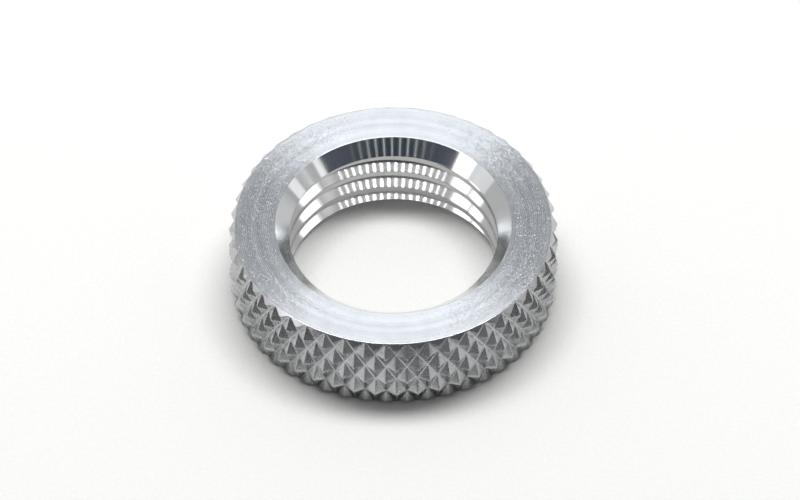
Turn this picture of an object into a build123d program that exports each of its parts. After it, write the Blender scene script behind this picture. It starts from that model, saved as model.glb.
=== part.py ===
from build123d import *
import math
import os

# Knurled ring nut, turned from one piece of aluminium bar: a thin threaded ring with a diamond knurl
# round its rim, to be run up and tightened by hand. Millimetres. The axis is the Z axis, and the
# nut lies on its bottom face, which is the plane Z = 0.

# ---- driving dimensions ----
nut_height = 3.7
thread_major_diameter = 10.0
thread_pitch = 1.0
top_countersink = 0.59  # depth of the 45 degree countersink in the top face
bottom_countersink = 0.34  # and of the smaller one in the bottom face
rim_chamfer = 0.3  # leg of the 45 degree chamfer at both ends of the rim

knurl_diameter = 14.1  # over the points of the knurl
knurl_pitch = 0.8  # from groove to groove, measured square to a groove at the points
knurl_helix_angle = 30.0  # of the grooves to the axis, at the groove bottoms
groove_angle = 105.0  # included angle of each V groove
point_land = 0.05  # width that the bar's own surface leaves on each point

cutter_run_out = 0.15  # how far a knurl cutter passes each end face

# ---- derived sizes ----
# The hole is bored to the minor diameter of the basic 60 degree thread form.
minor_radius = thread_major_diameter / 2 - 5 / 8 * math.cos(math.radians(30)) * thread_pitch

knurl_radius = knurl_diameter / 2
knurl_starts = round(math.pi * knurl_diameter * math.cos(math.radians(knurl_helix_angle)) / knurl_pitch)
flank_slope = math.tan(math.radians(groove_angle / 2))
groove_depth = (knurl_pitch - point_land) / 2 / flank_slope
groove_radius = knurl_radius - groove_depth
knurl_lead = 2 * math.pi * groove_radius / math.tan(math.radians(knurl_helix_angle))
knurl_step = 360 / knurl_starts


def turned_blank():
    """The nut before knurling: end faces, rim chamfers, bored hole and two countersinks."""
    face_radius = knurl_radius - rim_chamfer
    section = Polygon(
        (minor_radius + bottom_countersink, 0),
        (face_radius, 0),
        (knurl_radius, rim_chamfer),
        (knurl_radius, nut_height - rim_chamfer),
        (face_radius, nut_height),
        (minor_radius + top_countersink, nut_height),
        (minor_radius, nut_height - top_countersink),
        (minor_radius, bottom_countersink),
        align=None,
    )
    return revolve(Plane.XZ * section, Axis.Z)


def knurl_cutter():
    """A right-hand V groove as a solid, at angle 0 from the X axis where it passes mid height."""
    length = nut_height + 2 * cutter_run_out
    path = Helix(knurl_lead, length, groove_radius, center=(0, 0, -cutter_run_out))
    # The V stops just above the points, before it would meet its neighbours.
    reach = groove_depth + point_land / 4 / flank_slope
    start = Plane(origin=path @ 0, x_dir=(1, 0, 0), z_dir=path % 0)
    vee = Polygon((0, 0), (reach, -reach * flank_slope), (reach, reach * flank_slope), align=None)
    half_twist = 360 * (length / 2) / knurl_lead
    return Rotation(0, 0, -half_twist) * sweep(start * vee, path=path, is_frenet=True)


def cutters_all_round(cutter, first):
    """A cutter repeated round the rim, the first of them this many steps from the X axis."""
    return [Rotation(0, 0, (first + k) * knurl_step) * cutter for k in range(knurl_starts)]


def knurled_nut():
    """The blank with its two families of grooves, which leave four-sided points where they cross."""
    right_hand = knurl_cutter()
    left_hand = mirror(right_hand, about=Plane.XY.offset(nut_height / 2))
    # A quarter step each way sets rows of crossings level, half a point above and below mid height.
    nut = turned_blank() - cutters_all_round(right_hand, 0.25)
    return nut - cutters_all_round(left_hand, -0.25)


if __name__ == "__main__":
    os.makedirs("parts", exist_ok=True)
    export_step(knurled_nut(), "parts/knurled_nut.step")
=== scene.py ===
import logging
import math
from dataclasses import dataclass
from enum import Enum
from typing import Any, Optional, Union

import bpy
from mathutils import Matrix, Vector


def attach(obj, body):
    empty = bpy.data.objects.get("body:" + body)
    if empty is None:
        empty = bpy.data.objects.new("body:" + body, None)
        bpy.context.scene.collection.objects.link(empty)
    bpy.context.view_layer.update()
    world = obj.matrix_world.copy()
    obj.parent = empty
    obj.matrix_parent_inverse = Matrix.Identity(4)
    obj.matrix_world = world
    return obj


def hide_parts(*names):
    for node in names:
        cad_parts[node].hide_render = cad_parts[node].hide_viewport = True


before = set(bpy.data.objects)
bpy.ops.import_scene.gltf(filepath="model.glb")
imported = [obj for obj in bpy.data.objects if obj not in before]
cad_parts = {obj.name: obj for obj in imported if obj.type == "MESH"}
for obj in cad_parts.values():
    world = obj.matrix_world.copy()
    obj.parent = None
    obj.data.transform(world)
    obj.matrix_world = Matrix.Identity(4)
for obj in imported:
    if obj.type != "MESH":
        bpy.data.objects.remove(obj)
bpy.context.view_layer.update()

log = logging.getLogger("knurled_nut_scene")

CAD_NODE = "knurled_nut"
BODY = "root"
METRES_PER_MM = 0.001
IMAGE_WIDTH = 800
SENSOR_WIDTH_MM = 36.0
FULL_TURN = 2 * math.pi
QUARTER = 0.25
HALF_ROW = 0.5
NOISE_MIDDLE = 0.5

Range = tuple[float, float]
Size = tuple[float, float]
Place = tuple[float, float, float]
Rgb = tuple[float, float, float]
Colour = tuple[float, float, float, float]
Station = tuple[float, float, float, float]


class Hand(Enum):
    """Which way a family of knurl grooves climbs round the rim."""

    RIGHT = 1
    LEFT = -1


class Join(Enum):
    """What a boolean keeps of two closed forms."""

    COMMON = "INTERSECT"
    CUT = "DIFFERENCE"


class Finish(Enum):
    """The nut's finishes, by the names that the form's inputs have."""

    FACE = "Face Finish"
    RIM = "Rim Finish"
    CHAMFER = "Chamfer Finish"
    COUNTERSINK = "Countersink Finish"
    BORE = "Bore Finish"


@dataclass(frozen=True)
class Noise:
    """A noise: its scale, its number of finer layers and how strong those are."""

    scale: float
    detail: float = 2.0
    roughness: float = 0.5


Value = Union["Sock", float, int]


class Sock:
    """A node's output socket, with the arithmetic that the recipes below are written in."""

    def __init__(self, graph: "Graph", socket: bpy.types.NodeSocket) -> None:
        """Keeps the graph and the socket."""
        self.graph = graph
        self.socket = socket

    def math(self, operation: str, *others: Value) -> "Sock":
        """Adds one Math node to this value.

        Args:
            operation: the Math node's operation.
            others: its second and third values.

        Returns:
            The node's result.
        """
        return self.graph.math(operation, self, *others)

    def __add__(self, other: Value) -> "Sock":
        """Sum."""
        return self.math("ADD", other)

    def __radd__(self, other: Value) -> "Sock":
        """Sum with a plain number first."""
        return self.graph.math("ADD", other, self)

    def __sub__(self, other: Value) -> "Sock":
        """Difference."""
        return self.math("SUBTRACT", other)

    def __rsub__(self, other: Value) -> "Sock":
        """Difference with a plain number first."""
        return self.graph.math("SUBTRACT", other, self)

    def __mul__(self, other: Value) -> "Sock":
        """Product."""
        return self.math("MULTIPLY", other)

    def __rmul__(self, other: Value) -> "Sock":
        """Product with a plain number first."""
        return self.graph.math("MULTIPLY", other, self)

    def __truediv__(self, other: Value) -> "Sock":
        """Quotient."""
        return self.math("DIVIDE", other)

    def __rtruediv__(self, other: Value) -> "Sock":
        """Quotient with a plain number first."""
        return self.graph.math("DIVIDE", other, self)

    def __neg__(self) -> "Sock":
        """Minus this value."""
        return self.math("MULTIPLY", -1.0)

    def __abs__(self) -> "Sock":
        """Size of this value."""
        return self.math("ABSOLUTE")

    def __gt__(self, other: Value) -> "Sock":
        """1 where this value is above the other, and 0 elsewhere."""
        return self.math("GREATER_THAN", other)

    def __lt__(self, other: Value) -> "Sock":
        """1 where this value is below the other, and 0 elsewhere."""
        return self.math("LESS_THAN", other)

    def between(self, low: Value, high: Value) -> "Sock":
        """1 where this value is between two others, and 0 elsewhere."""
        return (self > low) * (self < high)

    def lowest(self, other: Value) -> "Sock":
        """The smaller of two values."""
        return self.math("MINIMUM", other)

    def highest(self, other: Value) -> "Sock":
        """The larger of two values."""
        return self.math("MAXIMUM", other)

    def soft_lowest(self, other: Value, blend: Value) -> "Sock":
        """The smaller of two values, rounded off where they are within blend of each other."""
        return self.math("SMOOTH_MIN", other, blend)

    def step(self, start: float, end: float) -> "Sock":
        """Rises smoothly from 0 at start to 1 at end.

        Args:
            start: the value at which the result is 0.
            end: the value at which it is 1.

        Returns:
            The eased result.
        """
        return self.graph.make(
            "ShaderNodeMapRange",
            {"interpolation_type": "SMOOTHSTEP"},
            {"Value": self, "From Min": start, "From Max": end},
            "Result",
        )


class Graph:
    """Adds nodes to one node tree."""

    def __init__(self, tree: bpy.types.NodeTree) -> None:
        """Keeps the tree."""
        self.tree = tree

    def feed(self, socket: bpy.types.NodeSocket, value: Any) -> None:
        """Links a Sock to an input, or sets the input to a plain value.

        Args:
            socket: the input socket.
            value: a Sock, or a number, vector, colour or data block.
        """
        if isinstance(value, Sock):
            self.tree.links.new(value.socket, socket)
        else:
            socket.default_value = value

    def node(
        self,
        kind: str,
        settings: Optional[dict[str, Any]] = None,
        inputs: Optional[dict[Any, Any]] = None,
    ) -> bpy.types.Node:
        """Adds any node.

        Args:
            kind: its type.
            settings: its own settings, which are set first.
            inputs: the values or links of its sockets, by name or index.

        Returns:
            The node.
        """
        node = self.tree.nodes.new(kind)
        for name, value in (settings or {}).items():
            setattr(node, name, value)
        for name, value in (inputs or {}).items():
            self.feed(node.inputs[name], value)
        return node

    def out(self, node: bpy.types.Node, name: Union[str, int] = 0) -> Sock:
        """One output of a node, wrapped."""
        return Sock(self, node.outputs[name])

    def make(
        self,
        kind: str,
        settings: Optional[dict[str, Any]] = None,
        inputs: Optional[dict[Any, Any]] = None,
        output: Union[str, int] = 0,
    ) -> Sock:
        """Adds any node and returns one of its outputs, wrapped.

        Args:
            kind: the node's type.
            settings: its own settings.
            inputs: the values or links of its sockets.
            output: which output is wanted.

        Returns:
            That output.
        """
        return self.out(self.node(kind, settings, inputs), output)

    def math(self, operation: str, *values: Value) -> Sock:
        """Adds a Math node.

        Args:
            operation: its operation.
            values: its values or links in order.

        Returns:
            Its result.
        """
        return self.make("ShaderNodeMath", {"operation": operation}, dict(enumerate(values)))

    def vector(self, x: Value, y: Value = 0.0, z: Value = 0.0) -> Sock:
        """A vector from its parts."""
        return self.make("ShaderNodeCombineXYZ", None, {"X": x, "Y": y, "Z": z})

    def parts(self, vector: Sock) -> tuple[Sock, Sock, Sock]:
        """The three parts of a vector."""
        split = self.node("ShaderNodeSeparateXYZ", None, {0: vector})
        return self.out(split, 0), self.out(split, 1), self.out(split, 2)

    def vector_math(self, operation: str, *values: Any, **named: Any) -> Sock:
        """Adds a Vector Math node.

        Args:
            operation: its operation.
            values: its vectors in order.
            named: other sockets by name, such as Scale.

        Returns:
            Its vector.
        """
        inputs: dict[Any, Any] = dict(enumerate(values))
        inputs.update(named)
        return self.make("ShaderNodeVectorMath", {"operation": operation}, inputs, "Vector")

    def mix_colour(self, share: Value, first: Any, second: Any, blend: str = "MIX") -> Sock:
        """Mixes two colours.

        Args:
            share: how much of the second colour is mixed in.
            first: the first colour.
            second: the second colour.
            blend: the Mix node's way of mixing.

        Returns:
            The mixed colour.
        """
        settings = {"data_type": "RGBA", "blend_type": blend, "clamp_factor": True}
        # The node has the same socket names for each data type: 0, 6 and 7 are those of colours.
        return self.make("ShaderNodeMix", settings, {0: share, 6: first, 7: second}, 2)

    def darkened(self, colour: Sock, where: Sock, shade: float) -> Sock:
        """Takes a share of the light away from a colour, in full where the mask is 1."""
        return self.mix_colour(where, colour, (1 - shade,) * 3 + (1.0,), "MULTIPLY")

    def noise(self, where: Sock, noise: Noise) -> Sock:
        """A noise from 0 to 1 at a place.

        Args:
            where: the vector that it is read at.
            noise: its settings.

        Returns:
            The noise.
        """
        inputs = {
            "Vector": where,
            "Scale": noise.scale,
            "Detail": noise.detail,
            "Roughness": noise.roughness,
        }
        return self.make("ShaderNodeTexNoise", None, inputs, "Fac")

    def surface(self, shader: bpy.types.Node) -> None:
        """Makes a shader the material's surface."""
        bsdf = self.out(shader, "BSDF")
        self.node("ShaderNodeOutputMaterial", None, {"Surface": bsdf})


def new_material(name: str) -> tuple[bpy.types.Material, Graph]:
    """Makes an empty material.

    Args:
        name: its name.

    Returns:
        The material and the graph that its nodes are added to.
    """
    material = bpy.data.materials.new(name)
    material.use_nodes = True
    material.node_tree.nodes.clear()
    return material, Graph(material.node_tree)


def add_object(name: str, data: Any) -> bpy.types.Object:
    """Puts a mesh, a light or a camera in the scene.

    Args:
        name: the new object's name.
        data: what it shows.

    Returns:
        The object.
    """
    made = bpy.data.objects.new(name, data)
    bpy.context.scene.collection.objects.link(made)
    return made


def from_front(radius: float, angle: float, height: float) -> Vector:
    """A point at an angle in radians round the nut's axis, counted from the front."""
    return Vector((radius * math.sin(angle), -radius * math.cos(angle), height))


@dataclass(frozen=True)
class NutSizes:
    """The nut's own sizes in millimetres and degrees, as the CAD model has them."""

    height: float = 3.7
    knurl_radius: float = 7.05
    rim_chamfer: float = 0.3
    thread_major_radius: float = 5.0
    thread_pitch: float = 1.0
    thread_flank: float = 35.75  # from level
    thread_crest_half: float = 1 / 8  # in pitches
    thread_start: float = 2.01  # in turns
    thread_fade_angle: float = 60.0  # from level
    top_countersink: float = 0.59
    bottom_countersink: float = 0.34
    knurl_pitch: float = 0.8
    groove_angle: float = 105.0
    point_land: float = 0.05
    knurl_starts: int = 48
    knurl_helix_angle: float = 30.0

    @property
    def minor_radius(self) -> float:
        """Radius inside the crests of the basic 60 degree thread form."""
        return self.thread_major_radius - 5 / 8 * math.cos(math.radians(30)) * self.thread_pitch

    @property
    def flank_slope(self) -> float:
        """Half width of a knurl groove for each millimetre of its depth."""
        return math.tan(math.radians(self.groove_angle / 2))

    @property
    def groove_depth(self) -> float:
        """Depth of a knurl groove below the points."""
        return (self.knurl_pitch - self.point_land) / 2 / self.flank_slope

    @property
    def groove_radius(self) -> float:
        """Radius at the groove's sharp root."""
        return self.knurl_radius - self.groove_depth

    @property
    def axial_pitch(self) -> float:
        """Height between two grooves of one family at the same angle."""
        lead = FULL_TURN * self.groove_radius / math.tan(math.radians(self.knurl_helix_angle))
        return lead / self.knurl_starts

    @property
    def face_radius(self) -> float:
        """Outer radius of the flat faces."""
        return self.knurl_radius - self.rim_chamfer


@dataclass(frozen=True)
class MeshSizes:
    """How finely each form is divided and how it is rounded, in millimetres and radians."""

    cells_per_half_step: int = 12
    knurl_half_rows: int = 5
    ridge_blend: float = 0.06
    thread_columns: int = 192
    thread_rows_per_pitch: int = 24
    thread_overrun: float = 0.45
    thread_turns_below: int = 3
    sharp_angle: float = 0.35
    blank_columns: int = 320
    edge_round: float = 0.03
    edge_arc_steps: int = 5
    edge_guard: float = 0.05
    clearance: float = 0.2
    merge: float = 0.0005


@dataclass(frozen=True)
class FinishBounds:
    """Where one finish gives way to the next.

    Levels are the upward part of a facet's direction, from 0 on a wall to 1 on a flat face. Rooms
    are in millimetres.
    """

    slope_level: float = 0.69
    cone_level: float = 0.73
    edge_level: float = 0.90
    face_level: float = 0.985
    bore_room: float = 0.01
    rim_room: float = 0.1


class SectionPoints:
    """The closed outline of the turned blank, as points of radius and height."""

    def __init__(self, nut: NutSizes, mesh: MeshSizes) -> None:
        """Keeps the sizes."""
        self.nut = nut
        self.mesh = mesh

    def corners(self) -> list[tuple[float, float, bool]]:
        """Corners in order, up the outside and down the inside.

        Returns:
            Radius, height, and whether the corner's edge is rounded, for each corner.
        """
        n, room = self.nut, self.mesh.clearance
        bore = n.minor_radius - room
        wall = n.knurl_radius + room
        return [
            (n.face_radius, 0.0, True),
            (wall, wall - n.face_radius, False),
            (wall, n.height - (wall - n.face_radius), False),
            (n.face_radius, n.height, True),
            (n.minor_radius + n.top_countersink, n.height, True),
            (bore, n.height - n.top_countersink - room, False),
            (bore, n.bottom_countersink + room, False),
            (n.minor_radius + n.bottom_countersink, 0.0, True),
        ]

    def rounded(self, before: Vector, corner: Vector, after: Vector) -> list[Vector]:
        """An edge's round, with a guard point at each side that keeps the faces beside it flat.

        Args:
            before: the corner before this one.
            corner: the corner that is rounded.
            after: the corner after it.

        Returns:
            The points that take the corner's place.
        """
        towards, onwards = (before - corner).normalized(), (after - corner).normalized()
        half = math.acos(max(-1.0, min(1.0, towards.dot(onwards)))) / 2
        cut = self.mesh.edge_round / math.tan(half)
        centre = corner + (towards + onwards).normalized() * (self.mesh.edge_round / math.sin(half))
        start, end = corner + towards * cut, corner + onwards * cut
        points = [start + towards * self.mesh.edge_guard]
        for k in range(self.mesh.edge_arc_steps + 1):
            spoke = (start - centre).lerp(end - centre, k / self.mesh.edge_arc_steps)
            points.append(centre + spoke.normalized() * self.mesh.edge_round)
        return points + [end + onwards * self.mesh.edge_guard]

    def points(self) -> list[Vector]:
        """The whole outline, each point once."""
        corners = self.corners()
        flat = [Vector((r, z)) for r, z, _ in corners]
        outline: list[Vector] = []
        for k, (_, _, is_rounded) in enumerate(corners):
            before, after = flat[k - 1], flat[(k + 1) % len(flat)]
            outline += self.rounded(before, flat[k], after) if is_rounded else [flat[k]]
        return outline


@dataclass(frozen=True)
class MetalFinish:
    """A finish of bare aluminium, with its lathe marks and grain.

    Lengths are in millimetres. A slope is how far a mark tilts the surface, and a shade is the
    share of the colour that is darkened; the foot and crest shades are painted shade.
    """

    name: str
    colour: Rgb
    roughness: float
    grain_slope: float
    roughness_spread: float = 0.08
    anisotropy: float = 0.0
    turn: float = 0.0
    edge_tint: float = 1.0
    is_turned: bool = False
    travel_per_height: float = 1.3
    # Patches of tone and grain.
    stain: float = 0.1
    stain_range: Range = (0.35, 0.65)
    cloud: Noise = Noise(1.3, 3.0)
    cloud_share: float = 0.6
    grain_scale: float = 14.0
    grain_shift: Place = (7.3, 1.9, 4.1)
    fleck_slope: float = 0.0
    # Rings that the lathe leaves round the axis.
    ring_pitch: float = 0.086
    ring_slope: float = 0.0
    ring_wander: Noise = Noise(0.9)
    ring_stray: float = 6.0
    ring_depth: Noise = Noise(9.0, 3.0)
    ring_shade: float = 0.0
    ring_tone: Noise = Noise(2.2, 4.0, 0.7)
    ring_tone_range: Range = (0.62, 0.38)
    swell: Noise = Noise(1.6, 3.0)
    swell_slope: float = 0.0
    lathe_slope: float = 0.0
    lathe_lines_per_mm: float = 2000.0
    crown_slope: float = 0.0
    crown_radius: float = 5.9
    # Painted shade: the colour darkens towards the floor, standing in for the contact shadow, and
    # on the thread's crests.
    painted_foot_shade: float = 0.0
    foot_range: Range = (0.9, 0.1)
    painted_crest_shade: float = 0.0
    crest_range: Range = (4.50, 4.46)

    @property
    def tone_grain(self) -> Noise:
        """The grain of the finish's tone."""
        return Noise(self.grain_scale, 2.0, 0.6)

    @property
    def slope_grain(self) -> Noise:
        """The grain of its surface."""
        return Noise(self.grain_scale, 3.0, 0.65)

    def material(self) -> bpy.types.Material:
        """Builds the finish.

        Returns:
            The material.
        """
        material, graph = new_material(self.name)
        place = graph.make("ShaderNodeTexCoord", output="Object")
        place = graph.vector_math("SCALE", place, Scale=1 / METRES_PER_MM)
        x, y, height = graph.parts(place)
        radius = (x * x + y * y).math("SQRT")
        side, depth = x / radius, y / radius
        # How far the lathe tool has gone, the same all the way round each of its marks.
        travel = radius + height * self.travel_per_height
        cloud = graph.noise(place, self.cloud)
        fine = graph.noise(place, self.tone_grain)
        uneven = (cloud - NOISE_MIDDLE) + (fine - NOISE_MIDDLE)
        blotch = cloud * self.cloud_share + fine * (1 - self.cloud_share)
        dark = tuple(c * (1 - self.stain) for c in self.colour)
        colour = graph.mix_colour(
            blotch.step(*self.stain_range), (*dark, 1.0), (*self.colour, 1.0)
        )
        if self.ring_shade:
            tone = graph.noise(graph.vector(travel), self.ring_tone).step(*self.ring_tone_range)
            colour = graph.darkened(colour, tone, self.ring_shade)
        # Painted shade: darker towards the floor, where the nut's contact shadow falls.
        if self.painted_foot_shade:
            colour = graph.darkened(colour, height.step(*self.foot_range), self.painted_foot_shade)
        # Painted shade: darker thread crests, standing in for the dimmer light that they mirror.
        if self.painted_crest_shade:
            colour = graph.darkened(colour, radius.step(*self.crest_range), self.painted_crest_shade)
        shader = graph.node(
            "ShaderNodeBsdfPrincipled",
            None,
            {
                "Base Color": colour,
                "Metallic": 1.0,
                "Roughness": self.roughness + uneven * self.roughness_spread,
                "Specular Tint": (self.edge_tint,) * 3 + (1.0,),
                "Anisotropic": self.anisotropy,
                "Anisotropic Rotation": self.turn,
                "Normal": self.marked_normal(graph, place, side, depth, radius, travel),
            },
        )
        graph.surface(shader)
        return material

    def turned_normal(self, graph: Graph, facet: Sock, side: Sock, depth: Sock) -> Sock:
        """A mesh facet's direction, made exactly round about the axis.

        Args:
            graph: the material's graph.
            facet: the facet's own direction.
            side: first part of the direction away from the axis.
            depth: its second part.

        Returns:
            The direction of the turned surface.
        """
        across, along, up = graph.parts(facet)
        outward = (across * side + along * depth).math("SIGN")
        level = (1.0 - up * up).highest(0.0).math("SQRT") * outward
        return graph.vector(side * level, depth * level, up)

    def lathe_slopes(self, graph: Graph, place: Sock, radius: Sock, travel: Sock) -> list[Sock]:
        """How far the marks of the lathe tilt the surface towards or away from the axis.

        Args:
            graph: the material's graph.
            place: the place in millimetres.
            radius: its distance from the axis.
            travel: how far the tool has gone.

        Returns:
            One slope for each kind of mark that the finish has.
        """
        slopes = []
        if self.ring_slope:
            stray = graph.noise(place, self.ring_wander) * self.ring_stray
            rings = (travel * (FULL_TURN / self.ring_pitch) + stray).math("SINE")
            strength = graph.noise(graph.vector(travel), self.ring_depth)
            slopes.append(rings * strength * self.ring_slope)
        if self.swell_slope:
            swell = graph.noise(graph.vector(travel), self.swell) - NOISE_MIDDLE
            slopes.append(swell * self.swell_slope)
        if self.crown_slope:
            slopes.append((self.crown_radius - radius) * self.crown_slope)
        if self.lathe_slope:
            lines = graph.make(
                "ShaderNodeTexWhiteNoise",
                {"noise_dimensions": "1D"},
                {"W": travel * self.lathe_lines_per_mm},
                "Value",
            )
            slopes.append((lines - NOISE_MIDDLE) * self.lathe_slope)
        return slopes

    def marked_normal(
        self, graph: Graph, place: Sock, side: Sock, depth: Sock, radius: Sock, travel: Sock
    ) -> Sock:
        """The surface's direction with its lathe marks and grain.

        Args:
            graph: the material's graph.
            place: the place in millimetres.
            side: first part of the direction away from the axis.
            depth: its second part.
            radius: the place's distance from the axis.
            travel: how far the lathe tool has gone.

        Returns:
            The direction.
        """
        geometry = graph.node("ShaderNodeNewGeometry")
        surface = graph.out(geometry, "Normal")
        if self.is_turned:
            facet = graph.out(geometry, "True Normal")
            surface = self.turned_normal(graph, facet, side, depth)
        around = graph.vector(-depth, side)
        across = graph.vector_math("CROSS_PRODUCT", around, surface)
        grain = graph.noise(place, self.slope_grain) - NOISE_MIDDLE
        shifted = graph.vector_math("ADD", place, self.grain_shift)
        fleck = graph.noise(shifted, self.slope_grain) - NOISE_MIDDLE
        slope = grain * self.grain_slope
        for mark in self.lathe_slopes(graph, place, radius, travel):
            slope = slope + mark
        twist = fleck * self.grain_slope
        if self.fleck_slope:
            twist = twist + fleck * abs(fleck) * self.fleck_slope
        tilt = graph.vector_math("SCALE", across, Scale=slope)
        drift = graph.vector_math("SCALE", around, Scale=twist)
        summed = graph.vector_math("ADD", graph.vector_math("ADD", surface, tilt), drift)
        return graph.vector_math("NORMALIZE", summed)


@dataclass
class KnurledNut:
    """The nut as one closed piece: knurled bar, turned blank and tapped thread put together."""

    nut: NutSizes = NutSizes()
    mesh: MeshSizes = MeshSizes()
    bounds: FinishBounds = FinishBounds()
    faced: MetalFinish = MetalFinish(
        "faced_aluminium", colour=(0.80, 0.84, 0.89), roughness=0.47, anisotropy=0.95, turn=0.25,
        ring_slope=0.17, ring_shade=0.14, grain_slope=0.13, fleck_slope=7.0, swell_slope=0.3,
        grain_scale=22.0, crown_slope=0.055,
    )
    # The knurl and the chamfer below darken towards the floor: painted contact shadow.
    knurled: MetalFinish = MetalFinish(
        "knurled_aluminium", colour=(0.57, 0.58, 0.59), roughness=0.28, grain_slope=0.10,
        stain=0.15, painted_foot_shade=0.5, edge_tint=0.9,
    )
    chamfered: MetalFinish = MetalFinish(
        "chamfered_aluminium", colour=(0.74, 0.735, 0.76), roughness=0.29, grain_slope=0.10,
        stain=0.15, painted_foot_shade=0.8, edge_tint=0.9,
    )
    countersunk: MetalFinish = MetalFinish(
        "countersunk_aluminium", colour=(0.85, 0.87, 0.885), roughness=0.11,
        roughness_spread=0.01, anisotropy=0.95, turn=0.25, lathe_slope=0.03, grain_slope=0.01,
        stain=0.05, is_turned=True,
    )
    # Its crests are darkened as painted shade.
    threaded: MetalFinish = MetalFinish(
        "threaded_aluminium", colour=(0.84, 0.845, 0.84), roughness=0.12, roughness_spread=0.01,
        anisotropy=0.95, turn=0.25, grain_slope=0.01, stain=0.05, is_turned=True,
        painted_crest_shade=0.45,
    )

    def finishes(self) -> dict[str, bpy.types.Material]:
        """The five finishes, by the names of the form's inputs."""
        return {
            Finish.FACE.value: self.faced.material(),
            Finish.RIM.value: self.knurled.material(),
            Finish.CHAMFER.value: self.chamfered.material(),
            Finish.COUNTERSINK.value: self.countersunk.material(),
            Finish.BORE.value: self.threaded.material(),
        }

    def build(self) -> bpy.types.Object:
        """Makes the piece and its five finishes.

        Returns:
            The finished piece, a plain mesh in metres.
        """
        outline = SectionPoints(self.nut, self.mesh).points()
        base = bpy.data.meshes.new("blank_outline")
        edges = [(k, (k + 1) % len(outline)) for k in range(len(outline))]
        base.from_pydata([(p.x, 0.0, p.y) for p in outline], edges, [])
        source = add_object("knurled_nut_source", base)
        finishes = self.finishes()
        modifier = source.modifiers.new("knurled_nut_form", "NODES")
        modifier.node_group = self.form_tree(len(outline))
        for item in modifier.node_group.interface.items_tree:
            if item.in_out == "INPUT" and item.name in finishes:
                modifier[item.identifier] = finishes[item.name]
        bpy.context.view_layer.update()
        evaluated = source.evaluated_get(bpy.context.evaluated_depsgraph_get())
        mesh = bpy.data.meshes.new_from_object(evaluated)
        mesh.name = "knurled_nut_body"
        # The booleans leave an empty slot before the finishes, which no face wears.
        mesh.materials.pop(index=0)
        source.modifiers.remove(modifier)
        bpy.data.objects.remove(source)
        bpy.data.meshes.remove(base)
        return add_object("knurled_nut_body", mesh)

    def form_tree(self, outline_points: int) -> bpy.types.NodeTree:
        """Builds the geometry nodes that make the whole nut.

        Args:
            outline_points: how many points the blank's outline has.

        Returns:
            The node group.
        """
        tree = bpy.data.node_groups.new("knurled_nut_form", "GeometryNodeTree")
        face = tree.interface
        for way in ("INPUT", "OUTPUT"):
            face.new_socket(name="Geometry", in_out=way, socket_type="NodeSocketGeometry")
        n = self.nut
        numbers = {
            "Height": n.height,
            "Groove Radius": n.groove_radius,
            "Groove Depth": n.groove_depth,
            "Groove Pitch": n.knurl_pitch,
            "Axial Pitch": n.axial_pitch,
            "Flank Slope": n.flank_slope,
            "Ridge Blend": self.mesh.ridge_blend,
            "Thread Pitch": n.thread_pitch,
            "Thread Minor Radius": n.minor_radius,
            "Thread Major Radius": n.thread_major_radius,
            "Thread Flank": math.tan(math.radians(n.thread_flank)),
            "Thread Start": n.thread_start,
        }
        for name, value in numbers.items():
            socket = face.new_socket(name=name, in_out="INPUT", socket_type="NodeSocketFloat")
            socket.default_value = value
        for finish in Finish:
            face.new_socket(name=finish.value, in_out="INPUT", socket_type="NodeSocketMaterial")
        graph = Graph(tree)
        given = graph.node("NodeGroupInput")
        size = {name: graph.out(given, name) for name in numbers}
        bar = self.knurled_bar(graph, size)
        blank = self.turned_blank(graph, graph.out(given, "Geometry"), outline_points)
        tap = self.thread_tap(graph, size)
        form, edges = self.boolean(graph, Join.COMMON, bar, blank)
        form = self.sharpened(graph, form, edges)
        form, edges = self.boolean(graph, Join.CUT, form, tap)
        form = graph.make(
            "GeometryNodeSetShadeSmooth",
            {"domain": "FACE"},
            {"Geometry": form, "Shade Smooth": True},
        )
        form = self.sharpened(graph, form, edges)
        form = graph.make(
            "GeometryNodeTransform", None, {"Geometry": form, "Scale": (METRES_PER_MM,) * 3}
        )
        form = graph.make("GeometryNodeRealizeInstances", None, {"Geometry": form})
        form = self.dressed(graph, given, form)
        graph.node("NodeGroupOutput", None, {"Geometry": form})
        return tree

    def grid(self, graph: Graph, columns: int, rows: int) -> tuple[Sock, Sock, Sock]:
        """A flat grid with its column and row numbers.

        Args:
            graph: the tree's graph.
            columns: cells round the axis.
            rows: cells along the other way.

        Returns:
            The mesh, each point's column and each point's row.
        """
        mesh = graph.make(
            "GeometryNodeMeshGrid",
            None,
            {"Size X": 1.0, "Size Y": 1.0, "Vertices X": columns + 1, "Vertices Y": rows + 1},
        )
        x, y, _ = graph.parts(graph.make("GeometryNodeInputPosition"))
        # The grid is one unit wide and has its middle at the origin.
        column = ((x + 0.5) * columns).math("ROUND")
        row = ((y + 0.5) * rows).math("ROUND")
        return mesh, column, row

    def wrap(self, graph: Graph, mesh: Sock, angle: Sock, radius: Sock, height: Sock) -> Sock:
        """Bends a grid round the axis, closes it and cuts its cells across their shorter way.

        Args:
            graph: the tree's graph.
            mesh: the grid.
            angle: each point's angle in radians.
            radius: its distance from the axis.
            height: its height.

        Returns:
            The closed mesh.
        """
        place = graph.vector(radius * angle.math("COSINE"), radius * angle.math("SINE"), height)
        bent = graph.make("GeometryNodeSetPosition", None, {"Geometry": mesh, "Position": place})
        closed = graph.make(
            "GeometryNodeMergeByDistance", None, {"Geometry": bent, "Distance": self.mesh.merge}
        )
        return graph.make(
            "GeometryNodeTriangulate", {"quad_method": "SHORTEST_DIAGONAL"}, {"Mesh": closed}
        )

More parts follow.
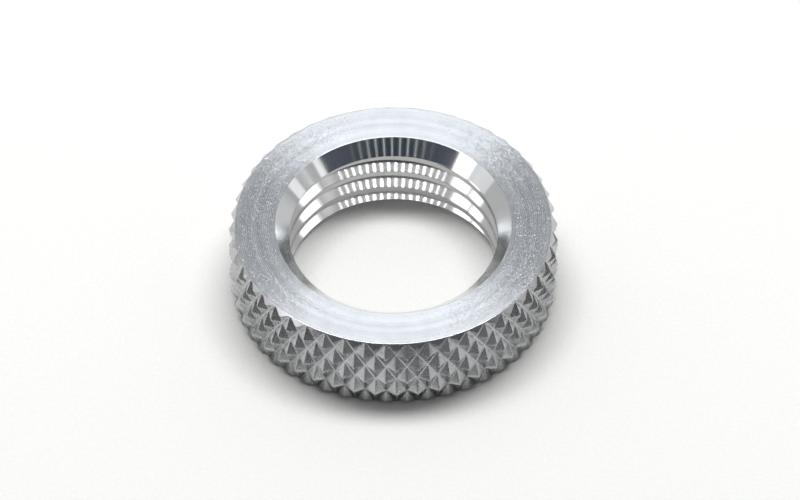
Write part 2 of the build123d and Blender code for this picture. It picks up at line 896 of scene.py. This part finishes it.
    def groove_family(self, size: dict[str, Sock], turns: Sock, rise: Sock, hand: Hand) -> Sock:
        """Radius of the rim as one family of knurl grooves leaves it.

        Args:
            size: the tree's named sizes.
            turns: angle in groove steps.
            rise: height above the middle in axial pitches.
            hand: which way the grooves climb.

        Returns:
            The radius at each point.
        """
        phase = turns - (rise + QUARTER) * hand.value
        off = abs(phase - phase.math("ROUND"))
        climb = (off * size["Groove Pitch"] / size["Flank Slope"]).lowest(size["Groove Depth"])
        return size["Groove Radius"] + climb

    def knurled_bar(self, graph: Graph, size: dict[str, Sock]) -> Sock:
        """A length of knurled bar, a little longer than the nut, as a closed mesh.

        Args:
            graph: the tree's graph.
            size: the tree's named sizes.

        Returns:
            The mesh.
        """
        cells = self.mesh.cells_per_half_step
        step_cells = 2.0 * cells
        columns = 2 * self.nut.knurl_starts * cells
        rows = self.mesh.knurl_half_rows * cells
        # One more row at each end closes the bar with a flat cap.
        mesh, column, row = self.grid(graph, columns, rows + 2)
        turns = column / step_cells
        level = (row - 1.0).highest(0.0).lowest(float(rows))
        rise = (level - rows / 2) / step_cells
        height = size["Height"] / 2 + rise * size["Axial Pitch"]
        right = self.groove_family(size, turns, rise, Hand.RIGHT)
        left = self.groove_family(size, turns, rise, Hand.LEFT)
        surface = right.soft_lowest(left, size["Ridge Blend"])
        # The groove's root is one cell wide.
        floor = size["Groove Radius"] + size["Groove Pitch"] / step_cells / size["Flank Slope"]
        surface = surface.highest(floor)
        is_wall = row.between(HALF_ROW, rows + 1 + HALF_ROW)
        angle = column * (FULL_TURN / columns)
        return self.creased(graph, self.wrap(graph, mesh, angle, surface * is_wall, height))

    def turned_blank(self, graph: Graph, outline: Sock, count: int) -> Sock:
        """The outline turned round the axis into a closed ring.

        Args:
            graph: the tree's graph.
            outline: the outline's points.
            count: how many points it has.

        Returns:
            The mesh.
        """
        columns = self.mesh.blank_columns
        mesh, column, row = self.grid(graph, columns, count)
        sampled = graph.make(
            "GeometryNodeSampleIndex",
            {"data_type": "FLOAT_VECTOR", "domain": "POINT"},
            {
                "Geometry": outline,
                "Value": graph.make("GeometryNodeInputPosition"),
                "Index": row.math("MODULO", float(count)),
            },
        )
        radius, _, height = graph.parts(sampled)
        return self.wrap(graph, mesh, column * (FULL_TURN / columns), radius, height)

    def thread_tap(self, graph: Graph, size: dict[str, Sock]) -> Sock:
        """A threaded rod that cuts the nut's thread, as a closed mesh.

        Args:
            graph: the tree's graph.
            size: the tree's named sizes.

        Returns:
            The mesh.
        """
        n, columns, per_pitch = self.nut, self.mesh.thread_columns, self.mesh.thread_rows_per_pitch
        over, turns_below = self.mesh.thread_overrun, self.mesh.thread_turns_below
        rows = math.ceil((n.height + 2 * over) / n.thread_pitch + turns_below) * per_pitch
        mesh, column, row = self.grid(graph, columns, rows)
        turn = column / float(columns)
        phase = row / float(per_pitch)
        shift = size["Thread Start"].math("FRACT") - QUARTER
        raw = (phase + turn + shift - float(turns_below)) * size["Thread Pitch"]
        off = abs(phase - phase.math("ROUND"))
        climb = (off - n.thread_crest_half).highest(0.0) * size["Thread Pitch"]
        reach = size["Thread Minor Radius"] + climb / size["Thread Flank"]
        reach = reach.lowest(size["Thread Major Radius"])
        top = size["Height"] + over
        is_wall = raw.between(-over, top)
        height = raw.highest(-over).lowest(top)
        # The groove fades out where the top countersink begins.
        to_top = (size["Height"] - n.top_countersink - height).highest(0.0)
        fade = to_top * math.tan(math.radians(n.thread_fade_angle))
        reach = reach.lowest(size["Thread Minor Radius"] + fade)
        angle = turn * FULL_TURN
        return self.creased(graph, self.wrap(graph, mesh, angle, reach * is_wall, height))

    def boolean(self, graph: Graph, join: Join, first: Sock, second: Sock) -> tuple[Sock, Sock]:
        """Puts two closed forms together.

        Args:
            graph: the tree's graph.
            join: what is kept.
            first: the first form.
            second: the second form.

        Returns:
            The mesh, and the edges where the two forms met.
        """
        settings = {"operation": join.value, "solver": "MANIFOLD"}
        node = graph.node("GeometryNodeMeshBoolean", settings)
        graph.feed(node.inputs["Mesh 1" if join is Join.CUT else "Mesh 2"], first)
        graph.feed(node.inputs["Mesh 2"], second)
        return graph.out(node, "Mesh"), graph.out(node, "Intersecting Edges")

    def creased(self, graph: Graph, mesh: Sock) -> Sock:
        """Marks the edges where a form bends sharply."""
        angle = graph.make("GeometryNodeInputMeshEdgeAngle")
        return self.sharpened(graph, mesh, angle > self.mesh.sharp_angle)

    def sharpened(self, graph: Graph, mesh: Sock, edges: Sock) -> Sock:
        """Marks some edges as sharp.

        Args:
            graph: the tree's graph.
            mesh: the mesh.
            edges: which edges.

        Returns:
            The mesh.
        """
        return graph.make(
            "GeometryNodeSetShadeSmooth",
            {"domain": "EDGE"},
            {"Geometry": mesh, "Selection": edges, "Shade Smooth": False},
        )

    def dressed(self, graph: Graph, given: bpy.types.Node, mesh: Sock) -> Sock:
        """Gives the rim, its chamfers, the thread, the countersinks and the faces their finishes.

        Args:
            graph: the tree's graph.
            given: the tree's inputs.
            mesh: the whole nut in metres.

        Returns:
            The mesh.
        """
        n, b = self.nut, self.bounds
        place = graph.make("GeometryNodeInputPosition")
        place = graph.vector_math("SCALE", place, Scale=1 / METRES_PER_MM)
        x, y, _ = graph.parts(place)
        radius = (x * x + y * y).math("SQRT")
        _, _, up = graph.parts(graph.make("GeometryNodeInputNormal", output="True Normal"))
        level = abs(up)
        in_bore = radius < n.minor_radius + n.top_countersink + b.bore_room
        on_rim = radius > n.groove_radius - b.rim_room
        is_cone = in_bore * level.between(b.slope_level, b.cone_level)
        is_chamfer = on_rim * level.between(b.slope_level, b.edge_level)
        is_edge = on_rim * (level > b.edge_level)
        steps = (
            (Finish.RIM, {}),
            (Finish.BORE, {"Selection": in_bore}),
            (Finish.CHAMFER, {"Selection": is_chamfer}),
            (Finish.COUNTERSINK, {"Selection": is_cone.highest(is_edge)}),
            (Finish.FACE, {"Selection": level > b.face_level}),
        )
        for finish, where in steps:
            inputs = {"Geometry": mesh, "Material": graph.out(given, finish.value), **where}
            mesh = graph.make("GeometryNodeSetMaterial", None, inputs)
        return mesh


@dataclass(frozen=True)
class CameraShade:
    """The dark camera close in front, which only mirror-like surfaces see.

    It is a leaning card, with a row of vanes at each end and glowing slots up its face: painted
    light, which the countersink and thread mirror as the lamp row's glints along their lathe marks.
    """

    # Angle at the foot, angle at the top, radius of the foot and height of the top.
    stations: tuple[Station, ...] = (
        (-15.0, -76.0, 0.0096, 0.060),
        (-4.0, -34.0, 0.0094, 0.084),
        (8.0, 4.0, 0.0093, 0.098),
        (20.0, 44.0, 0.0093, 0.080),
        (32.0, 80.0, 0.0096, 0.056),
    )
    strips_per_station: int = 6
    top_radius: float = 0.060
    vane_radius: float = 0.0094
    vane_length: float = 0.0065
    vane_height: float = 0.005
    vane_turn: float = 38.4
    vane_count: int = 10
    vane_step: float = 4.5
    roughness: float = 0.9
    dark_middle: Colour = (0.012, 0.018, 0.028, 1.0)
    dark_side: Colour = (0.055, 0.062, 0.080, 1.0)
    side_range: Range = (0.2, 1.0)
    streaks: Noise = Noise(26.0, 4.0, 0.8)
    streak_range: Range = (0.30, 0.70)
    least_streak: float = 0.5
    foot_colour: Colour = (0.24, 0.24, 0.25, 1.0)
    foot_range: Range = (0.002, 0.006)
    slot_centre: float = 0.0048
    slot_step: float = 7.15
    slot_edge: Range = (0.085, 0.02)
    slot_side_range: Range = (0.75, 0.30)
    slot_foot_range: Range = (0.012, 0.018)
    painted_glint_colour: Colour = (0.60, 0.62, 0.58, 1.0)
    painted_glint_strength: float = 1.5

    def mesh(self) -> bpy.types.Mesh:
        """Makes the card and its vanes.

        Returns:
            The mesh.
        """
        points: list[Vector] = []
        faces: list[tuple[int, ...]] = []
        strips = self.strips_per_station
        stations = [
            Vector(first).lerp(Vector(last), k / strips)
            for first, last in zip(self.stations, self.stations[1:])
            for k in range(strips + 1)
        ]
        for k, (low, high, foot, top) in enumerate(stations):
            points.append(from_front(foot, math.radians(low), 0.0))
            points.append(from_front(self.top_radius, math.radians(high), top))
            if k % (strips + 1):
                faces.append((2 * k - 2, 2 * k, 2 * k + 1, 2 * k - 1))
        rise = Vector((0.0, 0.0, self.vane_height))
        for edge, side in ((self.stations[0][0], -1), (self.stations[-1][0], 1)):
            for k in range(1, self.vane_count + 1):
                angle = math.radians(edge + side * k * self.vane_step)
                near = from_front(self.vane_radius, angle, 0.0)
                turned = angle + side * math.radians(self.vane_turn)
                far = near + from_front(self.vane_length, turned, 0.0)
                first = len(points)
                points += [near, far, far + rise, near + rise]
                faces.append((first, first + 1, first + 2, first + 3))
        mesh = bpy.data.meshes.new("camera_shade")
        mesh.from_pydata(points, [], faces)
        return mesh

    def material(self) -> bpy.types.Material:
        """Dark cloth with thin glowing slots, painted light that the countersink mirrors as thin
        glints, which fade out to the sides and above the foot.

        Returns:
            The material.
        """
        material, graph = new_material("dark_cloth")
        x, y, height = graph.parts(graph.make("ShaderNodeTexCoord", output="Object"))
        angle = (x / (self.slot_centre - y)).math("ARCTANGENT")
        streak = graph.noise(graph.vector(angle), self.streaks).step(*self.streak_range)
        to_side = abs(angle).step(*self.side_range) * (self.least_streak + streak)
        dark = graph.mix_colour(to_side, self.dark_middle, self.dark_side)
        colour = graph.mix_colour(height.step(*self.foot_range), self.foot_colour, dark)
        # The glowing slots are painted light: thin glints of the lamp row for the countersink to
        # mirror.
        count = angle / math.radians(self.slot_step)
        slot = abs(count - count.math("ROUND")).step(*self.slot_edge)
        slot = slot * abs(angle).step(*self.slot_side_range) * height.step(*self.slot_foot_range)
        shader = graph.node(
            "ShaderNodeBsdfPrincipled",
            None,
            {
                "Base Color": colour,
                "Roughness": self.roughness,
                "Specular IOR Level": 0.0,
                "Emission Color": graph.mix_colour(slot, (0.0, 0.0, 0.0, 1.0), self.painted_glint_colour),
                "Emission Strength": self.painted_glint_strength,
            },
        )
        graph.surface(shader)
        return material

    def build(self) -> bpy.types.Object:
        """Makes the shade.

        Returns:
            The shade.
        """
        shade = add_object("camera_shade", self.mesh())
        shade.data.materials.append(self.material())
        shade.visible_camera = False
        shade.visible_shadow = False
        shade.visible_diffuse = False
        return shade


@dataclass(frozen=True)
class Lamp:
    """One rectangular lamp: its middle, its width and height, and how bright its face is.

    It looks at its target. The camera never sees it.
    """

    name: str
    place: Place
    size: Size
    radiance: float
    target: Place = (0.0, 0.0, 0.0)
    lights_matte: bool = False
    is_mirrored: bool = True

    def build(self) -> bpy.types.Object:
        """Makes the lamp.

        Returns:
            The lamp.
        """
        data = bpy.data.lights.new(self.name, "AREA")
        data.shape = "RECTANGLE"
        data.size, data.size_y = self.size
        data.energy = self.radiance * math.pi * self.size[0] * self.size[1]
        lamp = add_object(self.name, data)
        look = Vector(self.target) - Vector(self.place)
        turn = look.to_track_quat("-Z", "Y").to_matrix().to_4x4()
        lamp.matrix_world = Matrix.Translation(self.place) @ turn
        lamp.visible_camera = False
        lamp.visible_diffuse = self.lights_matte
        lamp.visible_glossy = self.is_mirrored
        return lamp


@dataclass
class Studio:
    """Plain pale floor, a small light tent and the camera. Lengths are in metres."""

    nut: NutSizes = NutSizes()
    shade: CameraShade = CameraShade()
    # The camera: angles in degrees, distance and aim in radii of the nut's flat face.
    elevation: float = 48.46
    azimuth: float = 0.87
    roll: float = -0.313
    distance_radii: float = 66.7
    pixels_per_radius: float = 158.22
    aim_right: float = 0.0424
    aim_up: float = -0.1607
    clip: Range = (0.01, 20.0)
    # The floor.
    floor_half: float = 1.5
    floor_grain: Noise = Noise(7000.0, 2.0, 0.6)
    floor_grain_range: Range = (0.35, 0.65)
    floor_dark: Colour = (0.885, 0.885, 0.87, 1.0)
    floor_light: Colour = (0.915, 0.915, 0.90, 1.0)
    floor_roughness: float = 0.7
    # The row of small lamps that the thread and the countersink mirror.
    row_height: float = 0.24
    row_lean: float = 0.577
    row_bow: float = 0.41
    lamp_spacing: float = 0.0216
    lamp_count: int = 16
    lamp_size: Size = (0.005, 0.016)
    lamp_radiance: float = 10.5
    lamp_fall: float = 10.0
    # The tent.
    tent_colour: Colour = (1.0, 1.0, 1.0, 1.0)
    tent_strength: float = 0.06
    panels: tuple[Lamp, ...] = (
        Lamp("ceiling", (0.0, -0.112, 0.262), (0.60, 0.12), 0.42, (0.0, -0.112, 0.0)),
        Lamp("left_panel", (-0.24, -0.083, 0.14), (0.075, 0.10), 1.4),
        Lamp("left_soft", (-0.24, -0.0025, 0.105), (0.085, 0.09), 0.30),
        Lamp("left_spot_front", (-0.222, -0.047, 0.236), (0.065, 0.08), 1.7),
        Lamp("left_spot_back", (-0.222, 0.016, 0.18), (0.046, 0.06), 1.7),
        Lamp("right_panel", (0.207, 0.012, 0.17), (0.07, 0.09), 1.5),
        Lamp("right_spot", (0.222, 0.029, 0.078), (0.035, 0.05), 0.55),
        Lamp("right_corner", (0.20, -0.085, 0.135), (0.06, 0.06), 0.6),
        Lamp("right_back", (0.22, 0.14, 0.035), (0.16, 0.07), 0.2),
        Lamp("left_wall", (-0.34, 0.0, 0.22), (0.70, 0.44), 0.42, (0.0, 0.0, 0.22), True),
        Lamp("right_wall", (0.34, 0.0, 0.22), (0.70, 0.44), 0.38, (0.0, 0.0, 0.22), True),
        Lamp("back_wall", (0.0, 0.34, 0.28), (0.68, 0.56), 0.42, (0.0, 0.0, 0.28), True),
        Lamp("key_panel", (0.006, 0.065, 0.30), (0.27, 0.09), 7.8, (0.006, 0.065, 0.0), True),
        Lamp(
            "key_fill", (-0.01, 0.085, 0.301), (0.36, 0.09), 4.0, (-0.01, 0.085, 0.0),
            lights_matte=True, is_mirrored=False,
        ),
    )

    def camera(self) -> bpy.types.Object:
        """Makes the camera and makes it the scene's own.

        Returns:
            The camera.
        """
        unit = self.nut.face_radius * METRES_PER_MM
        e, a, t = (math.radians(v) for v in (self.elevation, self.azimuth, self.roll))
        forward = Vector((0.0, math.cos(e), -math.sin(e)))
        right, up = Vector((1.0, 0.0, 0.0)), Vector((0.0, math.sin(e), math.cos(e)))
        rolled_right = right * math.cos(t) + up * math.sin(t)
        rolled_up = up * math.cos(t) - right * math.sin(t)
        target = Vector((0.0, 0.0, self.nut.height * METRES_PER_MM))
        target += rolled_right * (self.aim_right * unit) + rolled_up * (self.aim_up * unit)
        place = target - forward * (self.distance_radii * unit)
        turn = Matrix.Rotation(-a, 4, "Z")
        axes = Matrix((rolled_right, rolled_up, -forward)).transposed().to_4x4()
        data = bpy.data.cameras.new("camera")
        data.sensor_width = SENSOR_WIDTH_MM
        data.lens = self.pixels_per_radius * self.distance_radii / IMAGE_WIDTH * data.sensor_width
        data.clip_start, data.clip_end = self.clip
        camera = add_object("camera", data)
        camera.matrix_world = turn @ Matrix.Translation(place) @ axes
        bpy.context.scene.camera = camera
        return camera

    def floor(self) -> bpy.types.Object:
        """A plain pale floor.

        Returns:
            The floor.
        """
        mesh = bpy.data.meshes.new("floor")
        corners = ((-1, -1), (1, -1), (1, 1), (-1, 1))
        points = [(x * self.floor_half, y * self.floor_half, 0.0) for x, y in corners]
        mesh.from_pydata(points, [], [(0, 1, 2, 3)])
        floor = add_object("floor", mesh)
        material, graph = new_material("pale_floor")
        place = graph.make("ShaderNodeTexCoord", output="Object")
        speck = graph.noise(place, self.floor_grain).step(*self.floor_grain_range)
        colour = graph.mix_colour(speck, self.floor_dark, self.floor_light)
        inputs = {"Base Color": colour, "Roughness": self.floor_roughness}
        graph.surface(graph.node("ShaderNodeBsdfPrincipled", None, inputs))
        mesh.materials.append(material)
        return floor

    def light(self) -> None:
        """The tent's faint own light, its row of small lamps, its panels and its pale walls."""
        scene = bpy.context.scene
        scene.view_settings.view_transform = "Standard"
        world = bpy.data.worlds.new("tent")
        world.use_nodes = True
        background = world.node_tree.nodes["Background"]
        background.inputs["Color"].default_value = self.tent_colour
        background.inputs["Strength"].default_value = self.tent_strength
        scene.world = world
        for k in range(self.lamp_count):
            step = k - (self.lamp_count - 1) / 2
            x = step * self.lamp_spacing
            y = self.row_bow * x * x / self.row_height - self.row_lean * self.row_height
            radiance = self.lamp_radiance * (1 - (step / self.lamp_fall) ** 2)
            Lamp(f"lamp_{k:02d}", (x, y, self.row_height), self.lamp_size, radiance).build()
        for panel in self.panels:
            panel.build()

    def build(self) -> None:
        """Makes the camera, the floor, the shade and the lights."""
        self.camera()
        self.floor()
        self.shade.build()
        self.light()


def main() -> None:
    """Builds the nut and its studio, in order."""
    logging.basicConfig(level=logging.INFO, format="%(name)s: %(message)s")
    piece = KnurledNut().build()
    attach(piece, BODY)
    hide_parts(CAD_NODE)
    log.info("%s: %d faces", piece.name, len(piece.data.polygons))
    Studio().build()


if __name__ == "__main__":
    main()
